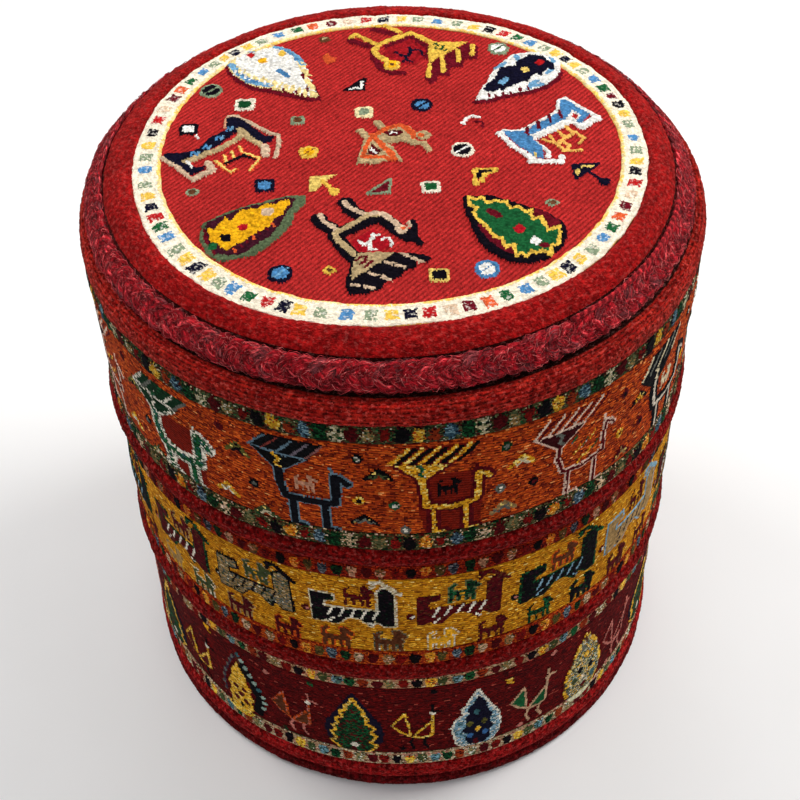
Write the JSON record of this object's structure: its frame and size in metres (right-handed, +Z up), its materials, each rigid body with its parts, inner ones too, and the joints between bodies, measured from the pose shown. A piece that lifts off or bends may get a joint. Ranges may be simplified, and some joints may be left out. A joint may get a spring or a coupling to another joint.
{
  "type": "storage pouf",
  "caption": "Round straight-sided storage pouf with a padded lift-off lid, covered in tribal woven textile with pile stripes and a plaited edge.",
  "frame": {"origin": "middle of the floor print, on the surface the glides stand on", "axes": "+Z up along the drum's axis and the way the lid lifts off; -Y is the side that faces the picture, +X to its right"},
  "size_m": [0.4009, 0.401, 0.4384],
  "materials": {
    "woven_textile": "matte",
    "red_pile": "matte",
    "braid_wool": "matte",
    "maroon_edging": "matte",
    "birch_plywood": "satin",
    "felt_wadding": "matte",
    "lid_foam": "matte",
    "cotton_lining": "matte",
    "dust_cloth": "matte",
    "glide_plastic": "satin",
    "zinc_steel": "satin"
  },
  "bodies": {
    "drum": {"side_cover": "woven_textile", "rim_band": "red_pile", "base_piping": "maroon_edging", "base_board": "birch_plywood", "middle_ring": "birch_plywood", "top_ring": "birch_plywood", "wall_shell": "birch_plywood", "wall_padding": "felt_wadding", "lining_wall": "cotton_lining", "lining_floor": "cotton_lining", "under_strip": "dust_cloth", "dust_cover": "dust_cloth", "glide_nails": "zinc_steel", "base_staples": "zinc_steel", "base_screws": "zinc_steel", "top_ring_screws": "zinc_steel", "upright_1": "birch_plywood", "upright_2": "birch_plywood", "upright_3": "birch_plywood", "upright_4": "birch_plywood", "upright_5": "birch_plywood", "upright_6": "birch_plywood", "glide_1": "glide_plastic", "glide_2": "glide_plastic", "glide_3": "glide_plastic", "glide_4": "glide_plastic"},
    "lid": {"lid_top_panel": "woven_textile", "lid_pile_border": "red_pile", "lid_braid": "braid_wool", "lid_board": "birch_plywood", "lid_plug": "birch_plywood", "lid_foam": "lid_foam", "lid_underside_cloth": "cotton_lining", "lid_plug_cloth": "cotton_lining", "lid_plug_screws": "zinc_steel"}
  },
  "joints": [
    {"name": "lid_lift", "type": "slide", "parent": "drum", "child": "lid", "axis": [0, 0, 1], "range_m": [0, 0.3]}
  ]
}
